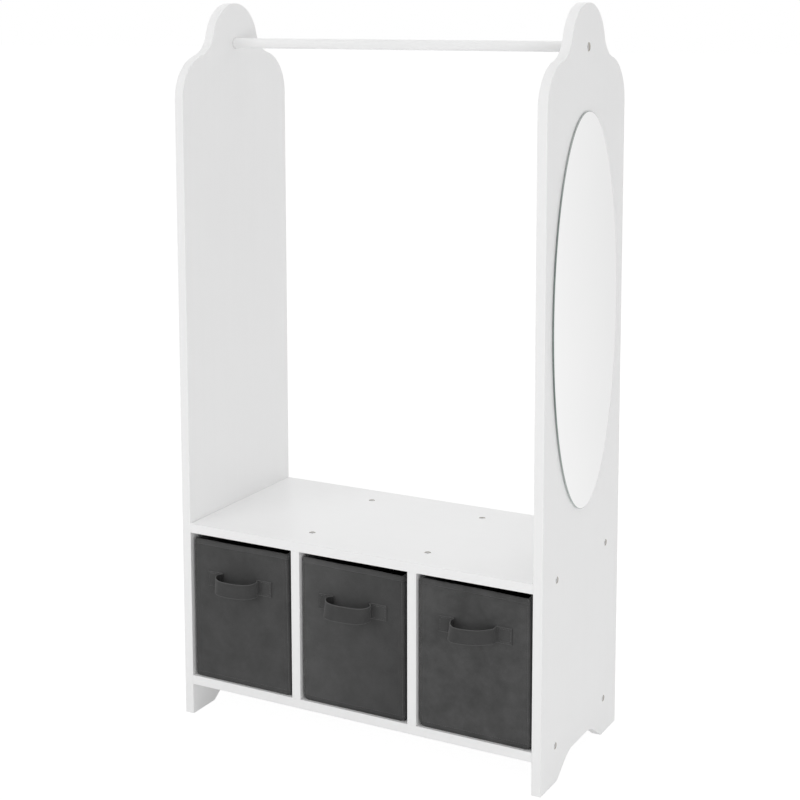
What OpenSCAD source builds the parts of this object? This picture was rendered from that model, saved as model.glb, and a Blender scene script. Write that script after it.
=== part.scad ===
// Children's dress up storage unit: two knob-topped side panels carry a hanging rail over a bench
// with three bays, an oval mirror is stuck to the outside of the right panel, and each bay holds a
// fabric bin. X runs from left to right, Y from front to back, Z up from the floor.

/* [Carcass] */
// Width over the two side panels
width = 620; // [580:5:700]
// Depth of the side panels and shelves
depth = 300; // [290:5:340]
// Height of the side panels at the top of the knob
height = 1137; // [1100:1:1200]
// Thickness of every painted board
board = 15; // [14:1:18]
// Height of the bench top above the floor
bench_z = 317; // [310:1:360]
// Height of the base shelf's underside above the floor
base_z = 50; // [45:1:60]

/* [Side panel outline] */
// Radius of the knob at the top
knob_r = 65; // [60:1:68]
// Radius of the rounded shoulders beside the knob
shoulder_r = 68; // [64:1:74]
// Distance of the shoulders' centres below the knob's centre
shoulder_drop = 82; // [76:1:110]
// Radius of the hollow between knob and shoulder
hollow_r = 45; // [40:1:50]
// Height of the arch between the feet
arch_h = 30; // [20:1:32]
// Length of each foot on the floor
foot_l = 61; // [50:1:65]
// Slope of the arch's sides, in degrees
arch_slope = 34; // [32:1:45]
// Radius where the arch's sides turn into its top
arch_r = 60; // [30:5:60]
// Radius of each foot's inner corner
toe_r = 8; // [4:1:12]

/* [Rail] */
// Diameter of the hanging rail
rail_d = 16; // [15:0.5:20]
// Height of the rail's centre above the knobs' centres
rail_rise = 1.5; // [0:0.5:4]
// Depth of the socket that each rail end sits in
socket_depth = 6; // [4:0.5:8]
// Gap between the rail and its socket, all round
socket_gap = 0.4; // [0.2:0.1:1]

/* [Mirror] */
// Width of the oval mirror
mirror_w = 245; // [200:1:250]
// Height of the oval mirror
mirror_h = 589; // [500:1:600]
// Thickness of the mirror plate
mirror_t = 2; // [2:0.5:4]
// Thickness of the adhesive tape behind it
tape_t = 0.8; // [0.5:0.1:1.5]
// Height of the mirror's centre
mirror_z = 687; // [650:1:700]
// How far the mirror's centre sits in front of mid-depth
mirror_forward = 3; // [0:1:8]

/* [Bins] */
// Gap between a bin and its bay, on each side
bin_side_gap = 4.3; // [2:0.1:10]
// Gap between a bin's top and the bench
bin_headroom = 10; // [4:1:30]
// Gap between a bin and the back panel
bin_back_gap = 5; // [2:1:30]
// Distance of a bin's front behind the front edges
bin_setback = 4; // [2:1:8]
// Radius of a bin's upright corners
bin_corner = 5; // [5:0.5:8]
// Width of the handle strap
strap_w = 25; // [20:1:30]
// Length over both sewn tabs of a handle
strap_span = 119; // [100:1:130]
// Length of each sewn tab
tab_l = 23; // [15:1:26]
// How far the handle loop stands out from the bin
loop_reach = 28; // [20:1:32]
// Height of the handle's centre above the bay floor
strap_z = 167; // [120:1:180]

/* [Hidden] */
$fn = 96;

eps = 0.01;                                      // overlap that keeps cuts clean
bite = 0.02;                                     // see corner_sliver()
white = "#f2f2f0";
grey_fabric = "#4a4a4b";

// Carcass
inner_w = width - 2 * board;                     // between the side panels
bench_under = bench_z - board;
bay_floor = base_z + board;
bay_h = bench_under - bay_floor;
bay_w = (inner_w - 2 * board) / 3;
divider_x = (bay_w + board) / 2;                 // centre of the right divider
knob_z = height - knob_r;
shoulder_y = depth / 2 - shoulder_r;
shoulder_z = knob_z - shoulder_drop;
rail_z = knob_z + rail_rise;

// The origin is the centre of the footprint of the whole unit, loops of the handles included
loop_front = loop_reach - bin_setback;           // loops stand this far in front of the panels
mid_y = loop_front / 2;                          // mid-depth of the carcass

// Back panel in its grooves
back_t = 3;
back_inset = 8;                                  // behind the panel
groove_depth = 5;
groove_gap = 0.1;                                // it stands on the lowest groove's floor
back_y = depth / 2 - back_inset - back_t;        // its front face

// Screws: a countersunk head, a plain collar and a thinner threaded part, drawn smooth
screw_inset = 53;                                // from the front and back edges
screw_y = depth / 2 - screw_inset;
screw_head_r = 5;
screw_head_h = 2.5;
screw_collar_r = 3.5;
screw_collar_l = 13;
screw_core_r = 2.5;
screw_l = 50;
screw_tip_l = 4;
screw_hex_r = 2.3;
screw_hex_depth = 2.2;
screw_sink = 1.5;                                // heads sit this far below the surface
rail_screw_head_r = 6.5;
rail_screw_sink = 2.5;
screw_collar_gap = 0.15;                         // the head and the thread fit closely

// Dowels
dowel_r = 4;
dowel_l = 30;
dowel_into_board = 10;                           // in a face, the rest is in an edge
dowel_end_gap = 1;                               // room for glue
dowel_y = 45;

// Mirror tape: three short strips, all inside the oval
tape_w = 25;
tape_l = 150;
tape_pitch = 150;

// Bins, from the outside of a wall to its inside
skin_t = 1;
wall_board_t = 2;
lining_t = 1;
hem_drop = 14;
base_board_t = 3;
base_board_gap = 0.5;
strap_t = 1.6;
loop_power = 2.5;                                // 2 is an ellipse, higher is squarer
bin_w = floor(bay_w - 2 * bin_side_gap);         // whole millimetres
bin_h = bay_h - bin_headroom;
bin_front = -depth / 2 + bin_setback;
bin_back = back_y - bin_back_gap;
bin_d = bin_back - bin_front;
bin_x = [-(bay_w + board), 0, bay_w + board];

// ---- outlines -------------------------------------------------------------------------------

// Centre of the hollow: as far from the knob's centre and the shoulder's as two tangent arcs are
function hollow_centre(side) =
    let (
        a = [0, knob_z],
        b = [shoulder_y, shoulder_z],
        ra = knob_r + hollow_r,
        rb = shoulder_r + hollow_r,
        d = norm(b - a),
        u = (b - a) / d,
        along = (ra * ra - rb * rb + d * d) / (2 * d),
        across = sqrt(ra * ra - along * along),
        c = a + along * u + across * [-u[1], u[0]]
    )
    [side * c[0], c[1]];

// The neck between knob and shoulders, scooped out by the two hollows
module neck() {
    foot_z = shoulder_z - shoulder_r / 2;
    difference() {
        polygon([
            [0, knob_z],
            hollow_centre(-1), [-shoulder_y, shoulder_z], [-shoulder_y, foot_z],
            [shoulder_y, foot_z], [shoulder_y, shoulder_z], hollow_centre(1)
        ]);
        for (side = [-1, 1])
            translate(hollow_centre(side)) circle(hollow_r + bite);
    }
}

// What lies between a corner and the arc that rounds it. The corner's two sides leave it at the
// angles from and to. The arc bites a hair into both sides, because edges that cross make a clean
// outline where edges that only touch do not.
module corner_sliver(corner, from, to, r) {
    half = (to - from) / 2;
    reach = r / tan(half);
    translate(corner)
        difference() {
            polygon([[0, 0], reach * [cos(from), sin(from)], reach * [cos(to), sin(to)]]);
            translate(r / sin(half) * [cos(from + half), sin(from + half)]) circle(r + bite);
        }
}

// The arch between the feet: its top corners are filled in round, and the toes are rounded off
module arch() {
    toe_y = depth / 2 - foot_l;
    top_y = toe_y - arch_h / tan(arch_slope);
    corner_angle = 180 - arch_slope;
    difference() {
        polygon([
            [-toe_y, -1], [toe_y, -1], [toe_y, 0], [top_y, arch_h], [-top_y, arch_h], [-toe_y, 0]
        ]);
        corner_sliver([top_y, arch_h], 180, 180 + corner_angle, arch_r);
        corner_sliver([-top_y, arch_h], 360 - corner_angle, 360, arch_r);
    }
    corner_sliver([toe_y, 0], 0, corner_angle, toe_r);
    corner_sliver([-toe_y, 0], 180 - corner_angle, 180, toe_r);
}

module side_outline() {
    difference() {
        union() {
            translate([-depth / 2, 0]) square([depth, shoulder_z]);
            for (side = [-1, 1])
                translate([side * shoulder_y, shoulder_z]) circle(shoulder_r);
            neck();
            translate([0, knob_z]) circle(knob_r);
        }
        arch();
    }
}

module rounded_rectangle(w, d, r) {
    corners = [[-w, -d] / 2, [w, -d] / 2, [w, d] / 2, [-w, d] / 2];
    difference() {
        square([w, d], center = true);
        for (i = [0 : 3]) corner_sliver(corners[i], 90 * i, 90 * i + 90, r);
    }
}

function oval(w, h, steps = 144) = [
    for (i = [0 : steps - 1])
        let (a = 360 * i / steps)
        [w / 2 * cos(a), h / 2 * sin(a)]
];

// Half of a superellipse, the plan of a strap loop that leaves the bin square to its front
function loop_plan(a, b, steps = 36) = [
    for (i = [0 : steps])
        let (t = 180 * i / steps, c = cos(t))
        [
            a * sign(c) * pow(abs(c), 2 / loop_power),
            -b * pow(abs(sin(t)), 2 / loop_power)
        ]
];

function reversed(points) = [for (i = [len(points) - 1 : -1 : 0]) points[i]];

// ---- fastenings -----------------------------------------------------------------------------

// A screw that points down from its head at z = 0. Its hole is the same shape, open above the
// head, and only the plain collar stands clear of it.
module screw_shape(head_r, collar_gap = 0, open_above = 0) {
    rotate_extrude()
        polygon([
            [0, -screw_l], [screw_core_r, -screw_l + screw_tip_l],
            [screw_core_r, -screw_collar_l - collar_gap],
            [screw_collar_r + collar_gap, -screw_collar_l - collar_gap],
            [screw_collar_r + collar_gap, -screw_head_h + collar_gap],
            [head_r, 0], [head_r, open_above], [0, open_above]
        ]);
}

module screw(head_r = screw_head_r) {
    difference() {
        screw_shape(head_r);
        translate([0, 0, -screw_hex_depth])
            cylinder(h = screw_hex_depth + 1, r = screw_hex_r, $fn = 6);
    }
}

module screw_hole(head_r = screw_head_r, sink = screw_sink) {
    screw_shape(head_r, screw_collar_gap, sink + 1);
}

// Puts its children below a side panel's outer face, with their Z axis pointing out of it
module place_on_side(side, sink) {
    translate([side * (width / 2 - sink), 0, 0]) rotate([0, side * 90, 0]) children();
}

// Puts its children on the outer face of a side panel, at each shelf screw's place
module at_panel_screws(side) {
    for (y = [-screw_y, screw_y], z = [base_z + board / 2, bench_z - board / 2])
        translate([0, y, z]) place_on_side(side, screw_sink) children();
}

module at_rail_screw(side) {
    translate([0, 0, rail_z]) place_on_side(side, rail_screw_sink) children();
}

module at_shelf_screws() {
    for (x = [-divider_x, divider_x], y = [-screw_y, screw_y])
        translate([x, y, bench_z - screw_sink]) children();
}

module at_base_screws() {
    for (x = [-divider_x, divider_x], y = [-screw_y, screw_y])
        translate([x, y, base_z + screw_sink]) rotate([180, 0, 0]) children();
}

module dowel(end_gap = 0) {
    cylinder(h = dowel_l + 2 * end_gap, r = dowel_r, center = true);
}

module at_panel_dowels(side) {
    for (y = [-dowel_y, dowel_y], z = [base_z + board / 2, bench_z - board / 2])
        translate([side * (inner_w / 2 + dowel_into_board - dowel_l / 2), y, z])
            rotate([0, 90, 0]) children();
}

module at_divider_dowels() {
    for (x = [-divider_x, divider_x], y = [-dowel_y, dowel_y]) {
        translate([x, y, bench_under + dowel_into_board - dowel_l / 2]) children();
        translate([x, y, bay_floor - dowel_into_board + dowel_l / 2]) children();
    }
}

// ---- carcass --------------------------------------------------------------------------------

// Everything is drawn about mid-depth, then moved to the unit's own origin
module in_place() {
    translate([0, mid_y, 0]) children();
}

// The back panel, or with a gap the grooves that hold it
module back_sheet(gap = 0) {
    sheet_w = inner_w + 2 * groove_depth;
    sheet_h = bay_h + 2 * groove_depth;
    translate([-sheet_w / 2 - gap, back_y - gap, bay_floor - groove_depth])
        cube([sheet_w + 2 * gap, back_t + 2 * gap, sheet_h + gap]);
}

module side_panel(side) {
    color(white) in_place()
        difference() {
            translate([side > 0 ? inner_w / 2 : -width / 2, 0, 0])
                rotate([90, 0, 90]) linear_extrude(board) side_outline();
            at_panel_screws(side) screw_hole();
            at_rail_screw(side) screw_hole(rail_screw_head_r, rail_screw_sink);
            at_panel_dowels(side) dowel(dowel_end_gap);
            back_sheet(groove_gap);
            translate([side * inner_w / 2, 0, rail_z]) rotate([0, 90, 0])
                cylinder(h = 2 * socket_depth, r = rail_d / 2 + socket_gap, center = true);
        }
}

module shelf_board(z) {
    translate([-inner_w / 2, -depth / 2, z]) cube([inner_w, depth, board]);
}

module left_side_panel() { side_panel(-1); }

module right_side_panel() { side_panel(1); }

module top_shelf() {
    color(white) in_place()
        difference() {
            shelf_board(bench_under);
            for (side = [-1, 1]) {
                at_panel_screws(side) screw_hole();
                at_panel_dowels(side) dowel(dowel_end_gap);
            }
            at_shelf_screws() screw_hole();
            at_divider_dowels() dowel(dowel_end_gap);
            back_sheet(groove_gap);
        }
}

module base_shelf() {
    color(white) in_place()
        difference() {
            shelf_board(base_z);
            for (side = [-1, 1]) {
                at_panel_screws(side) screw_hole();
                at_panel_dowels(side) dowel(dowel_end_gap);
            }
            at_base_screws() screw_hole();
            at_divider_dowels() dowel(dowel_end_gap);
            back_sheet(groove_gap);
        }
}

module divider(side) {
    color(white) in_place()
        difference() {
            translate([side * divider_x - board / 2, -depth / 2, bay_floor])
                cube([board, depth / 2 + back_y, bay_h]);
            at_shelf_screws() screw_hole();
            at_base_screws() screw_hole();
            at_divider_dowels() dowel(dowel_end_gap);
        }
}

module left_divider() { divider(-1); }

module right_divider() { divider(1); }

module back_panel() {
    color(white) in_place() back_sheet();
}

module hanging_rail() {
    rail_l = inner_w + 2 * socket_depth;
    color(white) in_place()
        difference() {
            translate([0, 0, rail_z]) rotate([0, 90, 0])
                cylinder(h = rail_l, r = rail_d / 2, center = true);
            for (side = [-1, 1])
                at_rail_screw(side) screw_hole(rail_screw_head_r, rail_screw_sink);
        }
}

// ---- mirror ---------------------------------------------------------------------------------

module on_mirror_face(offset) {
    translate([width / 2 + offset, -mirror_forward, mirror_z]) rotate([90, 0, 90]) children();
}

module oval_mirror() {
    color("#dfe6e6") in_place()
        on_mirror_face(tape_t) linear_extrude(mirror_t) polygon(oval(mirror_w, mirror_h));
}

module mirror_tape() {
    color("#f8f8f8") in_place()
        for (row = [-1, 0, 1])
            on_mirror_face(0)
                translate([-tape_l / 2, row * tape_pitch - tape_w / 2, 0])
                    cube([tape_l, tape_w, tape_t]);
}

// ---- screws and dowels ----------------------------------------------------------------------

module panel_screws(side) {
    color("silver") in_place() at_panel_screws(side) screw();
}

module left_panel_screws() { panel_screws(-1); }

module right_panel_screws() { panel_screws(1); }

module rail_screws() {
    color("silver") in_place()
        for (side = [-1, 1]) at_rail_screw(side) screw(rail_screw_head_r);
}

module shelf_screws() {
    color("silver") in_place() at_shelf_screws() screw();
}

module base_screws() {
    color("silver") in_place() at_base_screws() screw();
}

module panel_dowels(side) {
    color("burlywood") in_place() at_panel_dowels(side) dowel();
}

module left_panel_dowels() { panel_dowels(-1); }

module right_panel_dowels() { panel_dowels(1); }

module divider_dowels() {
    color("burlywood") in_place() at_divider_dowels() dowel();
}

// ---- bins -----------------------------------------------------------------------------------

// A bin stands on the bay floor, its front just behind the front edges
module in_bay(i) {
    translate([bin_x[i], (bin_front + bin_back) / 2, bay_floor]) children();
}

// The bin's plan, drawn in from its outer face
module bin_plan(inset) {
    rounded_rectangle(
        bin_w - 2 * inset, bin_d - 2 * inset, bin_corner - min(inset, bin_corner - 0.5)
    );
}

// Outer fabric: floor and walls in one, turned over the top and down inside as the hem
module bin_cover(i) {
    inside = skin_t + wall_board_t + lining_t;
    color(grey_fabric) in_place() in_bay(i)
        difference() {
            linear_extrude(bin_h) bin_plan(0);
            translate([0, 0, skin_t])
                linear_extrude(bin_h - skin_t - hem_drop) bin_plan(skin_t);
            translate([0, 0, bin_h - hem_drop - eps])
                linear_extrude(hem_drop - skin_t + eps)
                    difference() {
                        bin_plan(skin_t);
                        bin_plan(inside);
                    }
            translate([0, 0, bin_h - hem_drop - eps])
                linear_extrude(hem_drop + 1) bin_plan(inside + skin_t);
        }
}

// Lining: a thin inner box whose top edge is tucked under the hem
module bin_lining(i) {
    outside = skin_t + wall_board_t;
    color("#5a5a5b") in_place() in_bay(i)
        translate([0, 0, skin_t])
            difference() {
                linear_extrude(bin_h - 2 * skin_t) bin_plan(outside);
                translate([0, 0, lining_t])
                    linear_extrude(bin_h) bin_plan(outside + lining_t);
            }
}

// Stiff boards between cover and lining, one in each wall
module bin_wall_boards(i) {
    board_h = bin_h - 2 * skin_t;
    side_l = bin_d - 2 * bin_corner;
    front_l = bin_w - 2 * bin_corner;
    wall_y = bin_d / 2 - skin_t - wall_board_t / 2;
    wall_x = bin_w / 2 - skin_t - wall_board_t / 2;
    color("#b8a07a") in_place() in_bay(i)
        translate([0, 0, skin_t + board_h / 2])
            for (s = [-1, 1]) {
                translate([0, s * wall_y, 0])
                    cube([front_l, wall_board_t, board_h], center = true);
                translate([s * wall_x, 0, 0])
                    cube([wall_board_t, side_l, board_h], center = true);
            }
}

// Loose stiff board that keeps the bin's floor flat
module bin_base_board(i) {
    inset = skin_t + wall_board_t + lining_t + base_board_gap;
    color("#505051") in_place() in_bay(i)
        translate([0, 0, skin_t + lining_t]) linear_extrude(base_board_t) bin_plan(inset);
}

// Strap handle: one strap in plan, flat tabs on the bin's front and a loop between them
module bin_handle(i) {
    half_loop = strap_span / 2 - tab_l;
    inner_loop = loop_plan(half_loop - strap_t, loop_reach - strap_t);
    outer_loop = [for (p = loop_plan(half_loop, loop_reach)) if (p[1] < -strap_t) p];
    strap = concat(
        [[strap_span / 2, 0], [strap_span / 2, -strap_t], [half_loop, -strap_t]],
        outer_loop,
        [[-half_loop, -strap_t], [-strap_span / 2, -strap_t], [-strap_span / 2, 0]],
        reversed(inner_loop)
    );
    color(grey_fabric) in_place()
        translate([bin_x[i], bin_front, bay_floor + strap_z - strap_w / 2])
            linear_extrude(strap_w) polygon(strap);
}

module left_bin_cover() { bin_cover(0); }
module left_bin_lining() { bin_lining(0); }
module left_bin_wall_boards() { bin_wall_boards(0); }
module left_bin_base_board() { bin_base_board(0); }
module left_bin_handle() { bin_handle(0); }

module centre_bin_cover() { bin_cover(1); }
module centre_bin_lining() { bin_lining(1); }
module centre_bin_wall_boards() { bin_wall_boards(1); }
module centre_bin_base_board() { bin_base_board(1); }
module centre_bin_handle() { bin_handle(1); }

module right_bin_cover() { bin_cover(2); }
module right_bin_lining() { bin_lining(2); }
module right_bin_wall_boards() { bin_wall_boards(2); }
module right_bin_base_board() { bin_base_board(2); }
module right_bin_handle() { bin_handle(2); }

left_side_panel();
right_side_panel();
top_shelf();
base_shelf();
left_divider();
right_divider();
back_panel();
hanging_rail();
oval_mirror();
mirror_tape();
left_panel_screws();
right_panel_screws();
rail_screws();
shelf_screws();
base_screws();
left_panel_dowels();
right_panel_dowels();
divider_dowels();
left_bin_cover();
left_bin_lining();
left_bin_wall_boards();
left_bin_base_board();
left_bin_handle();
centre_bin_cover();
centre_bin_lining();
centre_bin_wall_boards();
centre_bin_base_board();
centre_bin_handle();
right_bin_cover();
right_bin_lining();
right_bin_wall_boards();
right_bin_base_board();
right_bin_handle();
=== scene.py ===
# Looks of a children's dress up storage unit: white painted boards, a white hanging rail, an oval
# mirror and three dark grey fabric bins. All sizes are metres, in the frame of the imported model:
# X runs from left to right, Y from front to back, Z up from the floor.
import math
from collections import namedtuple

import bmesh
import bpy
import numpy as np
from mathutils import Matrix, Vector


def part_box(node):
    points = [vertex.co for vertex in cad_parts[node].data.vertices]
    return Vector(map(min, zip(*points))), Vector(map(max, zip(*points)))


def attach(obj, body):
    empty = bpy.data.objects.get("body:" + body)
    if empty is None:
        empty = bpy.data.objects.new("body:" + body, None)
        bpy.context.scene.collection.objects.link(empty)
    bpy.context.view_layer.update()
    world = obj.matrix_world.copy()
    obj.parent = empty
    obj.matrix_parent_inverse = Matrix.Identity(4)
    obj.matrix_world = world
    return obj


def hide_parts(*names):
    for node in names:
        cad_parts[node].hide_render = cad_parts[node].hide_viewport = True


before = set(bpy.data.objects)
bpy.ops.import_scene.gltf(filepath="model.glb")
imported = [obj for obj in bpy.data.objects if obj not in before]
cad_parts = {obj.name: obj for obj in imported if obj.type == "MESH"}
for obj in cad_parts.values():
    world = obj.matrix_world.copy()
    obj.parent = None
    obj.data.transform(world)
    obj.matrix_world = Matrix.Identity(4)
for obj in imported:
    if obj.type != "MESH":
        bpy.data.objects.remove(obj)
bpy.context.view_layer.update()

MM = 0.001


# ---- camera ----------------------------------------------

IMAGE_SIDE = 800                    # pixels, the image is square
FOCAL_PIXELS = 1693.1
AXIS_PIXEL = (351.7, 221.5)         # where the camera's axis meets the image
SENSOR = 36                         # millimetres, the camera's own unit
CAMERA_PLACE = (1.2093, -2.2829, 1.1468)
CAMERA_YAW = 29.367                 # degrees to the left of straight back
CAMERA_PITCH = 7.570                # degrees down
CAMERA_ROLL = -0.294


def make_camera():
    yaw, pitch, roll = (math.radians(a) for a in (CAMERA_YAW, CAMERA_PITCH, CAMERA_ROLL))
    ahead = Vector((
        -math.sin(yaw) * math.cos(pitch), math.cos(yaw) * math.cos(pitch), -math.sin(pitch)
    ))
    level = Vector((math.cos(yaw), math.sin(yaw), 0))
    upright = level.cross(ahead)
    right = level * math.cos(roll) + upright * math.sin(roll)
    up = upright * math.cos(roll) - level * math.sin(roll)
    data = bpy.data.cameras.new("camera")
    data.sensor_width = SENSOR
    data.lens = FOCAL_PIXELS / IMAGE_SIDE * SENSOR
    data.shift_x = 0.5 - AXIS_PIXEL[0] / IMAGE_SIDE
    data.shift_y = AXIS_PIXEL[1] / IMAGE_SIDE - 0.5
    camera = bpy.data.objects.new("camera", data)
    turned = Matrix((right, up, -ahead)).transposed().to_4x4()
    camera.matrix_world = Matrix.Translation(CAMERA_PLACE) @ turned
    bpy.context.scene.collection.objects.link(camera)
    bpy.context.scene.camera = camera


# ---- materials -------------------------------------------

def tone(red, green=None, blue=None):
    """A linear colour from sRGB levels of 0 to 255; one level alone is a grey."""
    levels = (red, red, red) if green is None else (red, green, blue)
    linear = [
        v / 12.92 if v <= 0.04045 else ((v + 0.055) / 1.055) ** 2.4
        for v in (level / 255 for level in levels)
    ]
    return (*linear, 1)


class Finish:
    """A material whose nodes are added one by one; what the calls return can feed later calls."""

    def __init__(self, name, **sockets):
        self.material = bpy.data.materials.new(name)
        self.material.use_nodes = True
        self.tree = self.material.node_tree
        self.shader = self.tree.nodes["Principled BSDF"]
        self.place = self.add("ShaderNodeTexCoord").outputs["Object"]
        self.feed(self.shader, {k.replace("_", " "): v for k, v in sockets.items()})

    def add(self, kind, inputs=None, **settings):
        node = self.tree.nodes.new(kind)
        for name, value in settings.items():
            setattr(node, name, value)
        self.feed(node, inputs or {})
        return node

    def feed(self, node, inputs):
        for name, value in inputs.items():
            if isinstance(value, bpy.types.NodeSocket):
                self.tree.links.new(value, node.inputs[name])
            else:
                node.inputs[name].default_value = value

    def stretched(self, factors):
        """The object's own coordinates, multiplied along each axis."""
        inputs = {"Vector": self.place, "Scale": factors}
        return self.add("ShaderNodeMapping", inputs).outputs["Vector"]

    def noise(self, per_metre, detail=2, roughness=0.5, along=(1, 1, 1)):
        """Noise of 0 to 1 with that many features in a metre, drawn out where along is below 1."""
        inputs = {
            "Vector": self.stretched(along), "Scale": per_metre,
            "Detail": detail, "Roughness": roughness,
        }
        return self.add("ShaderNodeTexNoise", inputs).outputs["Fac"]

    def along(self, axis):
        """The place along one axis, in metres."""
        return self.add("ShaderNodeSeparateXYZ", {"Vector": self.place}).outputs[axis]

    def cells(self, per_metre, feature="F1"):
        inputs = {"Vector": self.place, "Scale": per_metre}
        return self.add("ShaderNodeTexVoronoi", inputs, feature=feature).outputs["Distance"]

    def between(self, value, low, high, start=0.0, end=1.0):
        """Value from start to end, mapped to low to high."""
        inputs = {"Value": value, "From Min": start, "From Max": end, "To Min": low, "To Max": high}
        return self.add("ShaderNodeMapRange", inputs).outputs["Result"]

    def maths(self, operation, a, b):
        node = self.add("ShaderNodeMath", operation=operation)
        self.feed(node, {0: a, 1: b})
        return node.outputs[0]

    def blend(self, factor, a, b):
        node = self.add("ShaderNodeMix", data_type="RGBA")
        self.feed(node, {"Factor": factor, 6: a, 7: b})
        return node.outputs[2]

    def colour(self, source):
        self.feed(self.shader, {"Base Color": source})

    def roughness(self, source):
        self.feed(self.shader, {"Roughness": source})

    def bump(self, height, depth, strength, over=None):
        """Relief of that depth in metres; over is the bump that it lies on."""
        inputs = {"Height": height, "Distance": depth, "Strength": strength}
        if over is not None:
            inputs["Normal"] = over
        normal = self.add("ShaderNodeBump", inputs).outputs["Normal"]
        self.feed(self.shader, {"Normal": normal})
        return normal


GRAIN_STRETCH = 0.03                # a board's grain is drawn out by one over this


def drawn_out(axis):
    """Factors for noise that runs along one axis, like a board's grain."""
    return [GRAIN_STRETCH if k == axis else 1 for k in range(3)]


def paint(name, light, dark, roughness, grain_axis):
    """Sprayed satin paint: faint cloudiness, faint streaks of the board below and orange peel."""
    finish = Finish(name, Specular_IOR_Level=0.5)
    clouds = finish.noise(7, detail=3)
    streaks = finish.noise(120, detail=1, along=drawn_out(grain_axis))
    mixed = finish.maths("ADD", finish.between(clouds, 0, 0.55), finish.between(streaks, 0, 0.45))
    finish.colour(finish.blend(mixed, dark, light))
    finish.roughness(finish.between(finish.noise(45), roughness, roughness + 0.07, 0.3, 0.7))
    peel = finish.bump(finish.noise(620, detail=1), 0.01 * MM, 0.2)
    finish.bump(streaks, 0.01 * MM, 0.3, over=peel)
    return finish.material


def raw_board():
    """Pressed wood chips inside holes, sockets and grooves, where there is no paint."""
    finish = Finish("raw_board", Roughness=0.85)
    chips = finish.noise(900, detail=4, roughness=0.7)
    shares = finish.between(chips, 0, 1, 0.3, 0.7)
    finish.colour(finish.blend(shares, tone(174, 170, 163), tone(208, 204, 197)))
    finish.bump(chips, 0.15 * MM, 0.8)
    return finish.material


PAINTED_REFLECTION_SPAN = (-0.11, 0.13)       # where the silver's painted reflection, darker to the rear, starts and ends in Y


def mirror_silver():
    """The silvered face behind clear glass, faintly uneven, with a painted reflection darker to the
    rear.
    """
    finish = Finish("mirror_silver", Metallic=1.0, Roughness=0.015)
    # painted reflection: the silver darkens from front to rear
    from_front = finish.between(finish.along("Y"), 0, 1, *PAINTED_REFLECTION_SPAN)
    reflection_and_clouds = finish.maths("ADD", from_front, finish.between(finish.noise(5), -0.15, 0.15))
    finish.colour(finish.blend(reflection_and_clouds, tone(237), tone(225)))
    finish.bump(finish.noise(9, detail=1), 0.01 * MM, 0.2)
    return finish.material


def glass_edge():
    """The ground edge of the mirror: dull green at the sides, with painted light paler at top and
    bottom.
    """
    finish = Finish("mirror_edge", Specular_IOR_Level=0.5, Coat_Weight=0.3)
    low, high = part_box("oval_mirror")
    half = (high.z - low.z) / 2
    from_middle = finish.maths("SUBTRACT", finish.along("Z"), low.z + half)
    # painted light: paler towards the top and bottom, where the edge faces up or down
    share = finish.between(finish.maths("ABSOLUTE", from_middle, 0), 0, 1, 0.4 * half, half)
    along_edge = finish.noise(60, detail=2)
    sides = finish.blend(along_edge, tone(104, 120, 114), tone(138, 152, 146))
    finish.colour(finish.blend(share, sides, tone(206, 212, 209)))
    finish.roughness(finish.between(finish.noise(900), 0.29, 0.42))
    finish.bump(finish.noise(1500, detail=1), 0.02 * MM, 0.4)
    return finish.material


def arris_glass():
    """The narrow flat ground round the mirror's face, which scatters a grey light."""
    finish = Finish("mirror_arris", Specular_IOR_Level=0.5)
    finish.colour(finish.blend(finish.noise(300), tone(118, 130, 126), tone(142, 152, 148)))
    finish.roughness(finish.between(finish.noise(900), 0.3, 0.45))
    return finish.material


def foam():
    """White double-sided foam tape with closed cells."""
    finish = Finish("foam", Roughness=0.9)
    finish.colour(finish.blend(finish.cells(1400), tone(196), tone(232)))
    finish.bump(finish.cells(1400), 0.15 * MM, 0.6)
    return finish.material


def zinc(name, metallic):
    """Zinc plate with fine marks and a little clouding, the duller the less metallic it is."""
    finish = Finish(name, Metallic=metallic)
    clouds = finish.noise(380, detail=3)
    finish.colour(finish.blend(clouds, tone(222, 223, 225), tone(243, 243, 244)))
    finish.roughness(finish.between(clouds, 0.48, 0.62))
    finish.bump(finish.noise(2600, detail=2), 0.02 * MM, 0.5)
    return finish.material


def beech():
    """Raw beech of the dowels: fine grain along X or Z."""
    finish = Finish("beech", Roughness=0.7)
    grain = finish.noise(900, detail=4, along=(0.12, 1, 0.12))
    finish.colour(finish.blend(grain, tone(176, 136, 92), tone(214, 180, 136)))
    finish.bump(grain, 0.15 * MM, 0.7)
    return finish.material


def cardboard():
    """Grey-brown board with pressed fibres."""
    finish = Finish("cardboard", Roughness=0.85)
    fibres = finish.noise(700, detail=4, along=(1, 1, 0.3))
    finish.colour(finish.blend(fibres, tone(132, 112, 84), tone(172, 152, 122)))
    finish.bump(fibres, 0.08 * MM, 0.6)
    return finish.material


BAND_HALF = 0.6 * MM                # half the height over which a band's shade changes
FELT_DARKER, FELT_LIGHTER = 22, 17  # levels below and above the cloth's own level


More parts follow.
